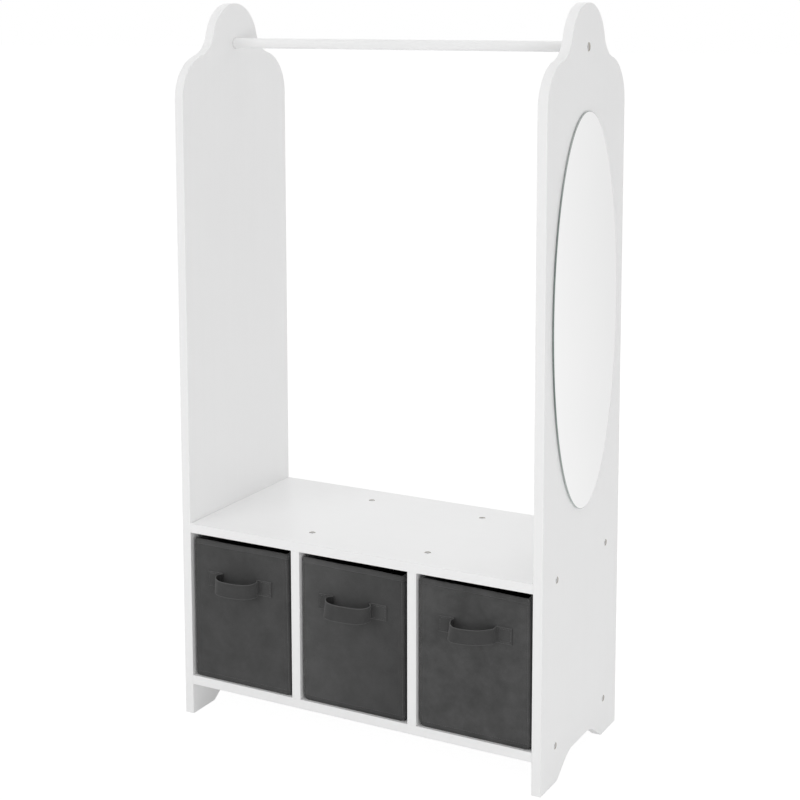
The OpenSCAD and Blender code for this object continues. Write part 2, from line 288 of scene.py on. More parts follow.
def felted(name, level, mottle=0.16, bands=(), fade=None):
    """Spun fabric: loose fibres pressed together in a fine grid of bonded dots, faintly mottled.

    Each band is a height and the shades below and above it, where painted shade or painted light
    steps. A painted side light is the cloth's left and right end, and by how much painted light
    makes it paler at the left than at its middle and darker at the right."""
    finish = Finish(
        name, Roughness=0.92, Sheen_Weight=0.12, Sheen_Roughness=0.5, Specular_IOR_Level=0.25
    )
    clouds = finish.noise(34, detail=4, roughness=0.6)
    fibres = finish.noise(1500, detail=3, roughness=0.7)
    dots = finish.cells(760, feature="SMOOTH_F1")
    shade = finish.maths("MULTIPLY", finish.between(clouds, 1 - mottle, 1 + mottle, 0.32, 0.68),
                         finish.between(fibres, 0.84, 1.16, 0.25, 0.75))
    # painted shade darkens the foot band and painted light brightens the hem, each as a step
    for height, below, above in bands:
        turned = finish.between(
            finish.along("Z"), below, above, height - BAND_HALF, height + BAND_HALF
        )
        shade = finish.maths("MULTIPLY", shade, turned)
    # painted side light: paler at the left end and darker at the right
    if fade:
        left, right, paler = fade
        side_lit = finish.between(finish.along("X"), 1 + paler, 1 - paler, left, right)
        shade = finish.maths("MULTIPLY", shade, side_lit)
    darker, lighter = tone(level - FELT_DARKER), tone(level + FELT_LIGHTER)
    finish.colour(finish.blend(finish.between(shade, 0, 1, 0.5, 1.5), darker, lighter))
    pressed = finish.bump(dots, 0.12 * MM, 0.5)
    finish.bump(fibres, 0.10 * MM, 0.6, over=pressed)
    return finish.material


def thread():
    """Twisted polyester sewing thread."""
    finish = Finish("thread", Roughness=0.6, Sheen_Weight=0.3)
    twist = finish.noise(2600, detail=1)
    finish.colour(finish.blend(twist, tone(70), tone(94)))
    finish.bump(twist, 0.1 * MM, 0.8)
    return finish.material


# ---- mesh helpers ----------------------------------------

SMOOTH_ANGLE = math.radians(35)


def show(name, mesh, body, replaced=(), weighted=False):
    """Makes a piece of the mesh, smooth where its faces meet gently, and hangs it on its body."""
    piece = bpy.data.objects.new(name, mesh)
    bpy.context.scene.collection.objects.link(piece)
    mesh.shade_smooth()
    mesh.set_sharp_from_angle(angle=SMOOTH_ANGLE)
    if weighted:
        piece.modifiers.new("even_flats", "WEIGHTED_NORMAL").keep_sharp = True
    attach(piece, body)
    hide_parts(*replaced)
    return piece


def mesh_of(name, vertices, faces, materials):
    mesh = bpy.data.meshes.new(name)
    mesh.from_pydata([tuple(v) for v in vertices], [], faces)
    for material in materials:
        mesh.materials.append(material)
    mesh.validate()
    return mesh


def loft(rings):
    """Vertices and faces of a skin over rings of points, each ring closed and both ends capped."""
    rings = np.asarray(rings)
    count, size = rings.shape[:2]
    faces = []
    for i in range(count - 1):
        low, high = i * size, (i + 1) * size
        faces += [
            (low + j, low + (j + 1) % size, high + (j + 1) % size, high + j) for j in range(size)
        ]
    faces.append(tuple(reversed(range(size))))
    faces.append(tuple(range((count - 1) * size, count * size)))
    return rings.reshape(-1, 3), faces


def joined(skins):
    """The vertices and faces of several skins as one."""
    vertices, faces = [], []
    for skin_vertices, skin_faces in skins:
        faces += [tuple(k + len(vertices) for k in face) for face in skin_faces]
        vertices += list(skin_vertices)
    return vertices, faces


def smooth_step(value, start, end):
    share = np.clip((np.asarray(value, float) - start) / (end - start), 0, 1)
    return share * share * (3 - 2 * share)


def ridge(value, centre, half_width):
    """1 at the centre, falling off smoothly to 0."""
    return np.exp(-(((np.asarray(value, float) - centre) / half_width) ** 2))


# ---- boards ----------------------------------------------

EASE = 0.5 * MM                     # radius of every painted board's edges
EASE_STEPS = 3
WELD = 0.002 * MM                   # points closer than this are one
NEARLY_FLAT = math.radians(0.5)     # faces that meet at less are one
FLAT_DEPTH = 0.01 * MM              # a face this close to a board's flat lies on it
NEARLY_ALL = 0.99                   # share that counts as all, of a thickness or a normal
Board = namedtuple("Board", "node thickness_axis grain_axis")
BOARDS = (
    Board("left_side_panel", 0, 2), Board("right_side_panel", 0, 2),
    Board("left_divider", 0, 2), Board("right_divider", 0, 2),
    Board("top_shelf", 2, 0), Board("base_shelf", 2, 0),
)


def reaches_across(face, axis, low, high):
    """Whether a board's face runs from one of its flats to the other."""
    places = [v.co[axis] for v in face.verts]
    return max(places) - min(places) > NEARLY_ALL * (high - low)


def rim_edges(mesh, axis, low, high):
    """The edges where a board's two flats meet the faces that run from one flat to the other."""
    def is_flat(face):
        return abs(face.normal[axis]) > NEARLY_ALL

    rims = []
    for edge in mesh.edges:
        if len(edge.link_faces) == 2:
            one, other = edge.link_faces
            if is_flat(other):
                one, other = other, one
            if is_flat(one) and not is_flat(other) and reaches_across(other, axis, low, high):
                rims.append(edge)
    return rims


def mark_holes(mesh, axis, low, high):
    """The second material on what is cut into a board: holes, sockets and grooves."""
    for face in mesh.faces:
        places = [v.co[axis] for v in face.verts]
        on_a_flat = max(places) < low + FLAT_DEPTH or min(places) > high - FLAT_DEPTH
        painted = on_a_flat or reaches_across(face, axis, low, high)
        face.material_index = 0 if painted else 1


def ease_board(board, material, inside):
    """The node's own shape with rounded edges, every hole and groove kept."""
    mesh = bmesh.new()
    mesh.from_mesh(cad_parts[board.node].data)
    bmesh.ops.remove_doubles(mesh, verts=mesh.verts, dist=WELD)
    bmesh.ops.dissolve_limit(mesh, angle_limit=NEARLY_FLAT, verts=mesh.verts, edges=mesh.edges)
    low, high = (corner[board.thickness_axis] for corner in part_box(board.node))
    mark_holes(mesh, board.thickness_axis, low, high)
    rims = rim_edges(mesh, board.thickness_axis, low, high)
    bmesh.ops.bevel(
        mesh, geom=rims, offset=EASE, segments=EASE_STEPS, profile=0.5, affect="EDGES",
        clamp_overlap=False
    )
    eased = bpy.data.meshes.new(board.node)
    mesh.to_mesh(eased)
    mesh.free()
    eased.materials.append(material)
    eased.materials.append(inside)
    show(board.node + ".board", eased, "carcass", [board.node], weighted=True)


# ---- mirror ----------------------------------------------

MIRROR_STEPS = 288
MIRROR_ARRIS = 0.6 * MM             # flat ground off each rim
MIRROR_ARRIS_DEPTH = 0.35 * MM
SILVER, EDGE, ARRIS = range(3)      # the mirror's materials
LEANING = 0.5                       # share of an arris's normal along X, at the least


def make_mirror(silver, edge, arris):
    """An oval plate: its face is silvered, its edge is ground and each rim has a narrow arris."""
    low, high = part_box("oval_mirror")
    centre, half = (low + high) / 2, (high - low) / 2
    angles = np.arange(MIRROR_STEPS) * 2 * math.pi / MIRROR_STEPS
    section = (
        (-half.x, MIRROR_ARRIS), (-half.x + MIRROR_ARRIS_DEPTH, 0),
        (half.x - MIRROR_ARRIS_DEPTH, 0), (half.x, MIRROR_ARRIS),
    )
    rings = [
        np.column_stack([
            np.full(MIRROR_STEPS, centre.x + out),
            centre.y + (half.y - inset) * np.cos(angles),
            centre.z + (half.z - inset) * np.sin(angles),
        ])
        for out, inset in section
    ]
    mesh = mesh_of("oval_mirror", *loft(rings), [silver, edge, arris])
    for face in mesh.polygons:
        if face.normal.x > NEARLY_ALL:
            face.material_index = SILVER
        elif face.normal.x > LEANING:
            face.material_index = ARRIS
        else:
            face.material_index = EDGE
    show("oval_mirror.plate", mesh, "carcass", ["oval_mirror"], weighted=True)


# ---- bins ------------------------------------------------

# Each bin is sewn a little differently. Its sides are shifted from the imported model's places, its
# right side leans at the top, its top edge's two sides stand at their own heights, and its foot is
# tucked in. Its cloth has its own grey level and mottle, painted light on the hem, painted shade on
# the foot band, and painted side light that makes it paler at the left and darker at the right. The
# seed sets where its walls wave.
Bin = namedtuple(
    "Bin",
    "body left_shift right_shift right_lean top_left top_right foot_tuck "
    "hem_shade shade mottle fade seed"
)
BINS = (
    Bin(
        "left_bin", left_shift=0.8 * MM, right_shift=-0.5 * MM, right_lean=-3.8 * MM,
        top_left=0.7 * MM, top_right=0.8 * MM, foot_tuck=0.2 * MM,
        hem_shade=1.14, shade=68.5, mottle=0.11, fade=0, seed=1
    ),
    Bin(
        "centre_bin", left_shift=-0.4 * MM, right_shift=-2.6 * MM, right_lean=-1.2 * MM,
        top_left=2.1 * MM, top_right=-0.2 * MM, foot_tuck=1.9 * MM,
        hem_shade=1.12, shade=71, mottle=0.1, fade=0.18, seed=2
    ),
    Bin(
        "right_bin", left_shift=-0.7 * MM, right_shift=-0.4 * MM, right_lean=-2.0 * MM,
        top_left=3.3 * MM, top_right=0.4 * MM, foot_tuck=1.7 * MM,
        hem_shade=1.03, shade=72, mottle=0.18, fade=0, seed=3
    ),
)
BIN_CORNER = 2.2 * MM               # radius of the upright corners
BIN_CORNER_STEPS = 4
TIGHT_CORNER = 0.8 * MM             # the least radius inside the walls
HEM_ROLL = 4.5 * MM                 # below the top, where the outer face starts to roll over
BIN_FOOT = 2.5 * MM                 # radius of the edge round the underside
FOOT_TURN = 1.8 * MM                # how far the underside's corners are drawn up
FOOT_TURN_REACH = 5 * MM            # how far from a corner, and how far up, that shows
FOOT_TURN_HEIGHT = 7 * MM
TUCK_SHADE = 80                     # painted shade: share of the foot band's brightness lost per metre of tuck
SKIN = 1 * MM
WALL = 5 * MM                       # a whole wall at the hem: two skins, board and lining
HEM = 14 * MM                       # how far the hem reaches down inside
HEM_SEAM = 7.5 * MM                 # below the top
SIDE_SEAM = 1.3 * MM                # from where the corner's curve ends
SEAM_ALLOWANCE = 7 * MM             # how far the corner's turned-in cloth reaches
FOOT_SEAM = 8.5 * MM                # above the underside
SEAM_HALF_WIDTH = 0.8 * MM
SEAM_STEP = 0.4 * MM
SEAM_SIDE_STEPS = 4                 # fine steps to each side of a seam
SEAM_BLUR = 0.5 * MM                # half the width of the slope up to doubled cloth
SEAM_RAISE = 0.45 * MM              # how far the cloth stands up outside a corner's seam
UNDER_RAISE = 0.2 * MM              # and over its turned-in cloth
SEAM_PULL = 0.55 * MM               # how deep stitches pull the cloth in
FOOT_PULL = 0.25                    # the same at the foot, as a share of its tuck
HEM_FLARE = 0.9 * MM                # how far the hem stands out
HEM_WAVE = 0.3 * MM                 # half the height of the top edge's waves
HEM_WAVES = 7                       # round the bin
GRID = 4.5 * MM                     # pitch of the mesh away from the seams
BOARD_WALL = 2 * MM
BASE_BOARD = 3 * MM
BOW = 0.7 * MM                      # how far the middle of a wall stands out
BOW_REACH = 60 * MM                 # from a corner to where a wall bows in full
BOW_ROUNDNESS = 0.7                 # below 1, a wall bows more evenly from foot to top
WAVES = (                           # round the bin, climb over its height, depth
    (5, 1.3, 0.14 * MM), (9, -2.1, 0.10 * MM), (16, 3.3, 0.05 * MM),
)
WAVE_REACH = 15 * MM                # from a corner to where the waves are full
WAVE_SHIFT = 1.7                    # how far each seed turns the waves
LOOSENESS = 0.25 * MM               # how far the walls stand out as a whole


def graded(length, seams):
    """Places from 0 to length: an even grid, and finer steps across each seam."""
    count = max(2, round(length / GRID))
    even = np.linspace(0, length, count + 1)
    around = range(-SEAM_SIDE_STEPS, SEAM_SIDE_STEPS + 1)
    fine = [seam + k * SEAM_STEP for seam in seams for k in around]
    fine = [place for place in fine if 0 < place < length]
    clear = [p for p in even if all(abs(p - f) > 0.8 * SEAM_STEP for f in fine)]
    return np.array(sorted({0.0, length, *clear, *fine}))


class Plan:
    """A rounded rectangle as stations: anchors on an inner rectangle, and the way out from each.

    Each station also knows how far round it is, as an angle, and how far from a corner."""

    def __init__(self, low, high, seams=()):
        self.centre = (np.array(low) + np.array(high)) / 2
        self.half = (np.array(high) - np.array(low)) / 2 - BIN_CORNER
        anchors, outward, along, run = [], [], [], 0.0
        corners = self.half * np.array([(-1, -1), (1, -1), (1, 1), (-1, 1)])
        for k in range(4):
            start, end = corners[k], corners[(k + 1) % 4]
            length = np.linalg.norm(end - start)
            facing = math.radians(90 * k - 90)
            stops = graded(length, [*seams, *(length - s for s in seams)])
            for stop in stops:
                anchors.append(start + (end - start) * stop / length)
                outward.append((math.cos(facing), math.sin(facing)))
                along.append((run + stop, min(stop, length - stop)))
            run += length
            for step in range(1, BIN_CORNER_STEPS):
                turn = facing + math.radians(90) * step / BIN_CORNER_STEPS
                arc = BIN_CORNER * math.radians(90) * step / BIN_CORNER_STEPS
                anchors.append(end)
                outward.append((math.cos(turn), math.sin(turn)))
                along.append((run + arc, 0.0))
            run += BIN_CORNER * math.radians(90)
        self.anchors, self.outward = np.array(anchors), np.array(outward)
        places, self.from_corner = np.array(along).T
        self.angle = places / run * 2 * math.pi

    def ring(self, inset, height, push=0.0, lift=0.0):
        """The stations at an inset from the outer face, pushed outwards and lifted."""
        radius = max(BIN_CORNER - inset, TIGHT_CORNER)
        shrink = max(0.0, inset + TIGHT_CORNER - BIN_CORNER)
        flat = self.centre + self.anchors * (1 - shrink / self.half)
        flat = flat + self.outward * (radius + np.zeros(len(flat)) + push)[:, None]
        return np.column_stack([flat, np.full(len(flat), height) + lift])


def sway(plan, height, tall, seed):
    """How far a whole wall bows and waves outwards; the corners stay put."""
    share = np.clip(height / tall, 0, 1)
    middle = smooth_step(plan.from_corner, 0, BOW_REACH)
    bow = BOW * middle * np.sin(math.pi * share) ** BOW_ROUNDNESS
    waves = sum(
        depth * np.sin(turns * plan.angle + WAVE_SHIFT * seed * turns + climb * share * math.pi)
        for turns, climb, depth in WAVES
    )
    return bow + (waves + LOOSENESS) * smooth_step(plan.from_corner, 0, WAVE_REACH)


def seam_relief(plan, height, tall, foot_tuck):
    """The raised doubled cloth beside each seam and the groove that its stitches pull in."""
    under = 1 - smooth_step(
        plan.from_corner, SEAM_ALLOWANCE - SEAM_BLUR, SEAM_ALLOWANCE + SEAM_BLUR
    )
    beside = 1 - smooth_step(plan.from_corner, SIDE_SEAM - SEAM_BLUR, SIDE_SEAM + SEAM_BLUR)
    hem_band = smooth_step(height, tall - HEM_SEAM - SEAM_BLUR, tall - HEM_SEAM + SEAM_BLUR)
    tucked = foot_tuck * (1 - smooth_step(height, BIN_FOOT, FOOT_SEAM))
    flared = HEM_FLARE * hem_band * min(1.0, (tall - height) / HEM_SEAM)
    raised = np.maximum(SEAM_RAISE * beside, flared) - tucked
    pulled = np.maximum(
        SEAM_PULL * ridge(plan.from_corner, SIDE_SEAM, SEAM_HALF_WIDTH),
        max(
            SEAM_PULL * ridge(height, tall - HEM_SEAM, SEAM_HALF_WIDTH),
            FOOT_PULL * foot_tuck * ridge(height, FOOT_SEAM, SEAM_HALF_WIDTH),
        ),
    )
    return raised + UNDER_RAISE * under - pulled


def hem_lift(plan, height, tall, box):
    """The top edge's own line: the heights of its two sides, and a slight wave."""
    places = plan.centre[0] + plan.anchors[:, 0]
    across = (places - places.min()) / (places.max() - places.min())
    line = box.top_left + (box.top_right - box.top_left) * across
    wave = HEM_WAVE * np.sin(plan.angle * HEM_WAVES + box.seed)
    return (line + wave) * smooth_step(height, tall - 3 * HEM, tall - 0.5 * HEM)


def foot_lift(plan, height):
    """The underside's corners are drawn up a little, so that they look round from the front."""
    near_corner = 1 - smooth_step(plan.from_corner, 0, FOOT_TURN_REACH)
    return FOOT_TURN * near_corner * (1 - float(smooth_step(height, 0, FOOT_TURN_HEIGHT)))


def bin_cloth(box):
    """A bin's own cloth: painted light on its hem, painted shade on its foot band, painted side
    light.
    """
    low, high = bin_box(box)
    # painted shade on the foot band grows with its tuck
    painted_foot_shade = 1 - TUCK_SHADE * box.foot_tuck
    bands = ((low.z + FOOT_SEAM, painted_foot_shade, 1), (high.z - HEM_SEAM, 1, box.hem_shade))
    fade = (low.x, high.x, box.fade)
    return felted(box.body + "_cloth", box.shade, box.mottle, bands, fade)


def bin_box(box):
    """The lowest and highest corners of a bin's outer face."""
    low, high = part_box(box.body + "_cover")
    return (
        Vector((low.x + box.left_shift, low.y, low.z)),
        Vector((high.x + box.right_shift, high.y, high.z)),
    )


def leaned(box, points):
    """The points of a bin's piece, its right side leaning more and more towards the top."""
    low, high = bin_box(box)
    points = np.array(points)
    across = np.clip((points[:, 0] - low.x) / (high.x - low.x), 0, 1)
    upward = np.clip((points[:, 2] - low.z) / (high.z - low.z), 0, 1)
    points[:, 0] += box.right_lean * across * upward
    return points


def arc_points(radius, start, end, steps):
    """(across, up) from an arc's centre, for angles in degrees."""
    return [
        (radius * math.cos(math.radians(a)), radius * math.sin(math.radians(a)))
        for a in np.linspace(start, end, steps + 1)
    ]


def cover_ring(plan, box, height, inset=0.0, detailed=True):
    """A ring of the outer cloth at a height above the bin's underside, seams and waves included."""
    low, high = bin_box(box)
    tall = high.z - low.z
    push = sway(plan, height, tall, box.seed) * smooth_step(height, 0, 2 * BIN_FOOT)
    if detailed:
        relief = seam_relief(plan, height, tall, box.foot_tuck)
        push = push + relief * smooth_step(height, 0, BIN_FOOT)
    lift = hem_lift(plan, height, tall, box) + foot_lift(plan, height)
    return plan.ring(inset, low.z + height, push, lift)


UNDER_INSETS = (30 * MM, 8 * MM)    # of the rings in a bin's underside


def make_cover(box, cloth):
    """Outer fabric: underside, walls, the hem rolled over the top and its inner face."""
    low, high = bin_box(box)
    tall = high.z - low.z
    plan = Plan(low.xy, high.xy, [SIDE_SEAM, SEAM_ALLOWANCE])
    roll = WALL / 2
    rings = []

    def add(inset, height, detailed=True):
        rings.append(cover_ring(plan, box, height, inset, detailed))

    for inset in UNDER_INSETS:
        add(inset, 0, detailed=False)
    for across, up in arc_points(BIN_FOOT, -90, -180, 4):
        add(BIN_FOOT + across, BIN_FOOT + up)
    for height in graded(tall, [FOOT_SEAM, tall - HEM_SEAM]):
        if BIN_FOOT < height < tall - HEM_ROLL:
            add(0, height)
    for across, up in arc_points(1, 180, 90, 7):
        add(roll * (1 + across), tall - HEM_ROLL * (1 - up))
    for across, up in arc_points(roll, 90, 0, 4)[1:]:
        add(roll + across, tall - roll + up)
    hem_end, under_roll = tall - HEM, tall - 1.6 * SKIN
    for height in np.linspace(tall - roll, hem_end, 5)[1:]:
        add(WALL, height, detailed=False)
    add(WALL - SKIN, hem_end, detailed=False)
    add(WALL - SKIN, under_roll, detailed=False)
    add(SKIN, under_roll, detailed=False)
    for height in np.linspace(tall - 2.6 * SKIN, 2 * FOOT_SEAM, 13):
        add(SKIN, height, detailed=False)
    add(SKIN + box.foot_tuck, SKIN, detailed=False)
    add(UNDER_INSETS[0], SKIN, detailed=False)
    vertices, faces = loft(rings)
    mesh = mesh_of(box.body + "_cover", leaned(box, vertices), faces, [cloth])
    show(box.body + "_cover.cloth", mesh, box.body, [box.body + "_cover"])
    return plan


STITCH_PITCH = 3.8 * MM
STITCH_LENGTH = 3.0 * MM
STITCH_RADIUS = 0.25 * MM
STITCH_SIDES = 6
STITCH_SHARES = (0, 0.2, 0.5, 0.8, 1)  # of its length, where a stitch has its rings
LOOK_AHEAD = 0.1 * MM               # to find which way a row runs
UPRIGHT_CLEAR = 2 * MM              # from an upright row's ends to the rows across
UPRIGHT_STEPS = 40


def sewn(points, outward):
    """Vertices and faces of a row of stitches along points, each stitch bowed out of the cloth."""
    points, outward = np.asarray(points, float), np.asarray(outward, float)
    steps = np.linalg.norm(np.diff(points, axis=0), axis=1)
    run = np.concatenate([[0], np.cumsum(steps)])
    turns = np.arange(STITCH_SIDES) * 2 * math.pi / STITCH_SIDES

    def at(place, values):
        return np.array([np.interp(place, run, values[:, k]) for k in range(3)])

    stitches = []
    for start in np.arange(0.5 * STITCH_PITCH, run[-1] - STITCH_LENGTH, STITCH_PITCH):
        rings = []
        for share in STITCH_SHARES:
            place = start + share * STITCH_LENGTH
            middle, away = at(place, points), at(place, outward)
            ahead = at(place + LOOK_AHEAD, points) - middle
            ahead /= np.linalg.norm(ahead)
            away -= ahead * away.dot(ahead)
            away /= np.linalg.norm(away)
            across = np.cross(ahead, away)
            bow = math.sin(math.pi * share)
            radius = STITCH_RADIUS * (0.5 + 0.5 * bow)
            centre = middle + away * STITCH_RADIUS * (1.6 * bow - 0.8)
            rings.append([
                centre + radius * (math.cos(t) * away + math.sin(t) * across) for t in turns
            ])
        stitches.append(loft(rings))
    return joined(stitches)


def make_stitches(box, plan, cotton):
    """Rows of stitches under the hem, above the foot and beside each upright corner."""
    low, high = bin_box(box)
    tall = high.z - low.z
    directions = np.column_stack([plan.outward, np.zeros(len(plan.outward))])
    rows = []
    for height in (FOOT_SEAM, tall - HEM_SEAM):
        ring = cover_ring(plan, box, height)
        rows.append((np.vstack([ring, ring[:1]]), np.vstack([directions, directions[:1]])))
    lowest, highest = FOOT_SEAM + UPRIGHT_CLEAR, tall - HEM_SEAM - UPRIGHT_CLEAR
    heights = np.linspace(lowest, highest, UPRIGHT_STEPS)
    uprights = np.array([cover_ring(plan, box, height) for height in heights])
    for station in np.flatnonzero(np.abs(plan.from_corner - SIDE_SEAM) < 0.01 * MM):
        rows.append((uprights[:, station], np.tile(directions[station], (len(heights), 1))))
    stitches = joined(sewn(leaned(box, points), outward) for points, outward in rows)
    mesh = mesh_of(box.body + "_stitches", *stitches, [cotton])
    show(box.body + "_cover.stitches", mesh, box.body)


LINING_CORNER = 4 * MM              # radius between the lining's walls and its floor
LINING_SWAY = 0.4                   # share of the outer walls' sway that the lining follows
LINING_SLACK = 0.25 * MM            # how deep its own waves are
LINING_WAVES, LINING_CLIMB = 11, 9  # round the bin, and over its height
FLOOR_INSET = 40 * MM               # where the floors of lining and base board turn flat


def make_lining(box, cloth):
    """The lining: a soft inner box from under the hem down to the floor."""
    low, high = bin_box(box)
    tall = high.z - low.z
    plan = Plan(low.xy, high.xy)
    outer, inner, floor = WALL - 2 * SKIN, WALL - SKIN, 2 * SKIN
    tucked = tall - 3.5 * SKIN
    rings = []

    def add(inset, height, slack=0.0):
        moved = LINING_SWAY * sway(plan, height, tall, box.seed) * smooth_step(height, 0, 10 * MM)
        waves = np.sin(plan.angle * LINING_WAVES + LINING_CLIMB * height / tall + box.seed)
        moved = moved - slack * (1 + waves) * smooth_step(plan.from_corner, 0, 20 * MM)
        rings.append(plan.ring(inset, low.z + height, moved))

    add(FLOOR_INSET, SKIN)
    for height in np.linspace(SKIN, tucked, 12):
        add(outer, height)
    for height in np.linspace(tucked, floor + 6 * MM, 44):
        loose = float(smooth_step(tall - HEM - height, 0, 20 * MM))
        add(inner, height, slack=LINING_SLACK * loose)
    for across, up in arc_points(LINING_CORNER, 0, -90, 4):
        add(inner + LINING_CORNER - across, floor + LINING_CORNER + up)
    add(FLOOR_INSET, floor)
    vertices, faces = loft(rings)
    mesh = mesh_of(box.body + "_lining", leaned(box, vertices), faces, [cloth])
    show(box.body + "_lining.cloth", mesh, box.body, [box.body + "_lining"])


PUFF = 0.5 * MM                     # how far the wrapping stands up from the base board
PUFF_INSETS = (6, 14, 26, 40, 58)   # millimetres in from the board's edge


def make_base_board(box, cloth):
    """The loose board in the bottom, wrapped in fabric, so its edges are round and its top soft."""
    low, high = bin_box(box)
    plan = Plan(low.xy, high.xy)
    inset, under = WALL - SKIN + 0.5 * MM, low.z + 2 * SKIN
    half = BASE_BOARD / 2
    rings = [plan.ring(inset + FLOOR_INSET, under), plan.ring(inset + 6 * MM, under)]
    for across, up in arc_points(half, -90, -270, 8):
        rings.append(plan.ring(inset + half + across, under + half + up))
    for step in PUFF_INSETS:
        puff = PUFF * math.sin(step * 0.7) ** 2
        rings.append(plan.ring(inset + step * MM, under + BASE_BOARD + puff))
    name = box.body + "_base_board"
    vertices, faces = loft(rings)
    mesh = mesh_of(name, leaned(box, vertices), faces, [cloth])
    show(name + ".wrapped", mesh, box.body, [name])


CARD_EDGE = 0.3 * MM                # how far a wall board's edges are rounded


def make_wall_boards(box, material):
    """The four stiff boards inside the walls."""
    low, high = bin_box(box)
    centre, half = (low + high) / 2, (high - low) / 2
    reach = SKIN + BOARD_WALL / 2
    end_gap, top_gap, foot_gap = SKIN + BOARD_WALL + 1 * MM, 3 * SKIN, FOOT_SEAM + 1.5 * MM
    tall = half.z - (top_gap + foot_gap) / 2
    mesh = bmesh.new()
    for side in (-1, 1):
        places = (
            (Vector((0, side * (half.y - reach), 0)), (half.x - end_gap, BOARD_WALL / 2)),
            (Vector((side * (half.x - reach), 0, 0)), (BOARD_WALL / 2, half.y - end_gap)),
        )
        for place, size in places:
            middle = centre + place - Vector((0, 0, (top_gap - foot_gap) / 2))
            scale = Matrix.Diagonal((2 * size[0], 2 * size[1], 2 * tall, 1))
            bmesh.ops.create_cube(mesh, size=1, matrix=Matrix.Translation(middle) @ scale)
    bmesh.ops.bevel(
        mesh, geom=mesh.edges[:], offset=CARD_EDGE, segments=2, profile=0.5, affect="EDGES"
    )
    for vertex, place in zip(mesh.verts, leaned(box, [v.co for v in mesh.verts])):
        vertex.co = place
    name = box.body + "_wall_boards"
    boards = bpy.data.meshes.new(name)
    mesh.to_mesh(boards)
    mesh.free()
    boards.materials.append(material)
    show(name + ".card", boards, box.body, [name])


# ---- handles ---------------------------------------------

# A loop's shape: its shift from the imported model's place, how far it reaches out in front, how much
# more it stands out at the left than at the right, how far its front hangs down, and how far it
# leans to the right and out from its lower to its upper edge, as shares of the height between them.
# Each end has its reach from the loop's middle, the place of its neck, where the strap leaves its
# tab, and how square its bend is.
End = namedtuple("End", "reach neck square")
Loop = namedtuple("Loop", "body shift_x shift_z left right reach slant droop lean_right lean_out")
LOOPS = (
    Loop(
        "left_bin", shift_x=-3.0 * MM, shift_z=-0.3 * MM,
        left=End(reach=38.3 * MM, neck=31.2 * MM, square=2.8),
        right=End(reach=38.6 * MM, neck=33.2 * MM, square=2.4),
        reach=28.2 * MM, slant=0.04, droop=3.2 * MM, lean_right=0.11, lean_out=0.07
    ),
    Loop(
        "centre_bin", shift_x=-1.5 * MM, shift_z=-2.0 * MM,
        left=End(reach=41.9 * MM, neck=32.6 * MM, square=2.6),
        right=End(reach=37.2 * MM, neck=30.6 * MM, square=3.4),
        reach=29.9 * MM, slant=0.14, droop=3.0 * MM, lean_right=0.12, lean_out=-0.10
    ),
    Loop(
        "right_bin", shift_x=1.6 * MM, shift_z=-0.2 * MM,
        left=End(reach=36.3 * MM, neck=33.6 * MM, square=2.4),
        right=End(reach=38.4 * MM, neck=33.6 * MM, square=2.1),
        reach=29.1 * MM, slant=0.34, droop=2.0 * MM, lean_right=0.25, lean_out=0.12
    ),
)
STRAP_HALF = 12.4 * MM              # half the strap's width
STRAP_THICK = 1.6 * MM
STRAP_STEPS = 41                    # points across the strap's outer face
STRAP_EDGE = 3 * MM                 # width of the folded edge outside each stitch line
FOLD_HIGHLIGHT_WIDTH = 1.2 * MM               # width of the painted highlight along each fold
TAB_END = 59 * MM                   # from the handle's middle
NECK = 13 * MM                      # how far out the loop has its full spread
LOOP_STEPS = 64
BEND = 2.6 * MM                     # radius where the strap leaves its tab
TAB_SEAM = 2.4 * MM                 # from a tab's ends to its stitches
OUTSIDE, FOLD_HIGHLIGHT, INSIDE_SHADE, TAB = range(4)  # a strap's cloths; the fold's is a painted highlight, the inside's painted shade
# the fold cloth is a painted highlight and the inside cloth painted shade
STRAP_LEVELS = (("outside", 63), ("fold", 84), ("inside", 40), ("tab", 70))


def strap_section():
    """(along, out) round the strap's section: folded edges, stitch grooves, a soft belly."""
    widths = STRAP_HALF * np.sin(np.linspace(-math.pi / 2, math.pi / 2, STRAP_STEPS))
    from_edge = STRAP_HALF - np.abs(widths)
    rounded = np.sqrt(np.clip(1 - (1 - np.clip(from_edge / (0.8 * MM), 0, 1)) ** 2, 0, 1))
    fold = 1 - 0.22 * smooth_step(from_edge, STRAP_EDGE - 0.4 * MM, STRAP_EDGE + 0.4 * MM)
    groove = 0.30 * ridge(from_edge, STRAP_EDGE, 0.5 * MM)
    half = STRAP_THICK / 2 * rounded * (fold - groove)
    outer = list(zip(widths, half))
    inner = list(zip(widths[::-1], -half[::-1]))
    return np.array(outer + inner[1:-1])


def loop_line(loop):
    """The loop's middle line in plan, (across, out) from left to right, tucked in at its necks."""
    angles = np.linspace(0, math.pi, LOOP_STEPS + 1)
    turn = np.cos(angles)
    at_left = turn > 0
    reach, neck, square = (np.where(at_left, a, b) for a, b in zip(loop.left, loop.right))
    out = loop.reach * (1 + loop.slant * turn) * np.sin(angles) ** (2 / square)
    tucked = 1 - smooth_step(out, 0, NECK)
    half = reach * np.abs(turn) ** (2 / square) - (reach - neck) * tucked
    line = np.column_stack([-np.sign(turn) * half, out])
    return line[out > BEND + STRAP_THICK]


def bend_line(neck, toward):
    """From a tab's end to where the strap stands straight out; toward is 1 for the left tab."""
    centre = np.array([-neck - BEND, STRAP_THICK / 2 + BEND])
    bend = [
        centre + BEND * np.array([math.cos(a), math.sin(a)])
        for a in np.radians(np.linspace(-90, 0, 7))
    ]
    tab = [np.array([x, STRAP_THICK / 2]) for x in np.linspace(-TAB_END, centre[0], 10)[:-1]]
    return np.array(tab + bend) * (toward, 1)


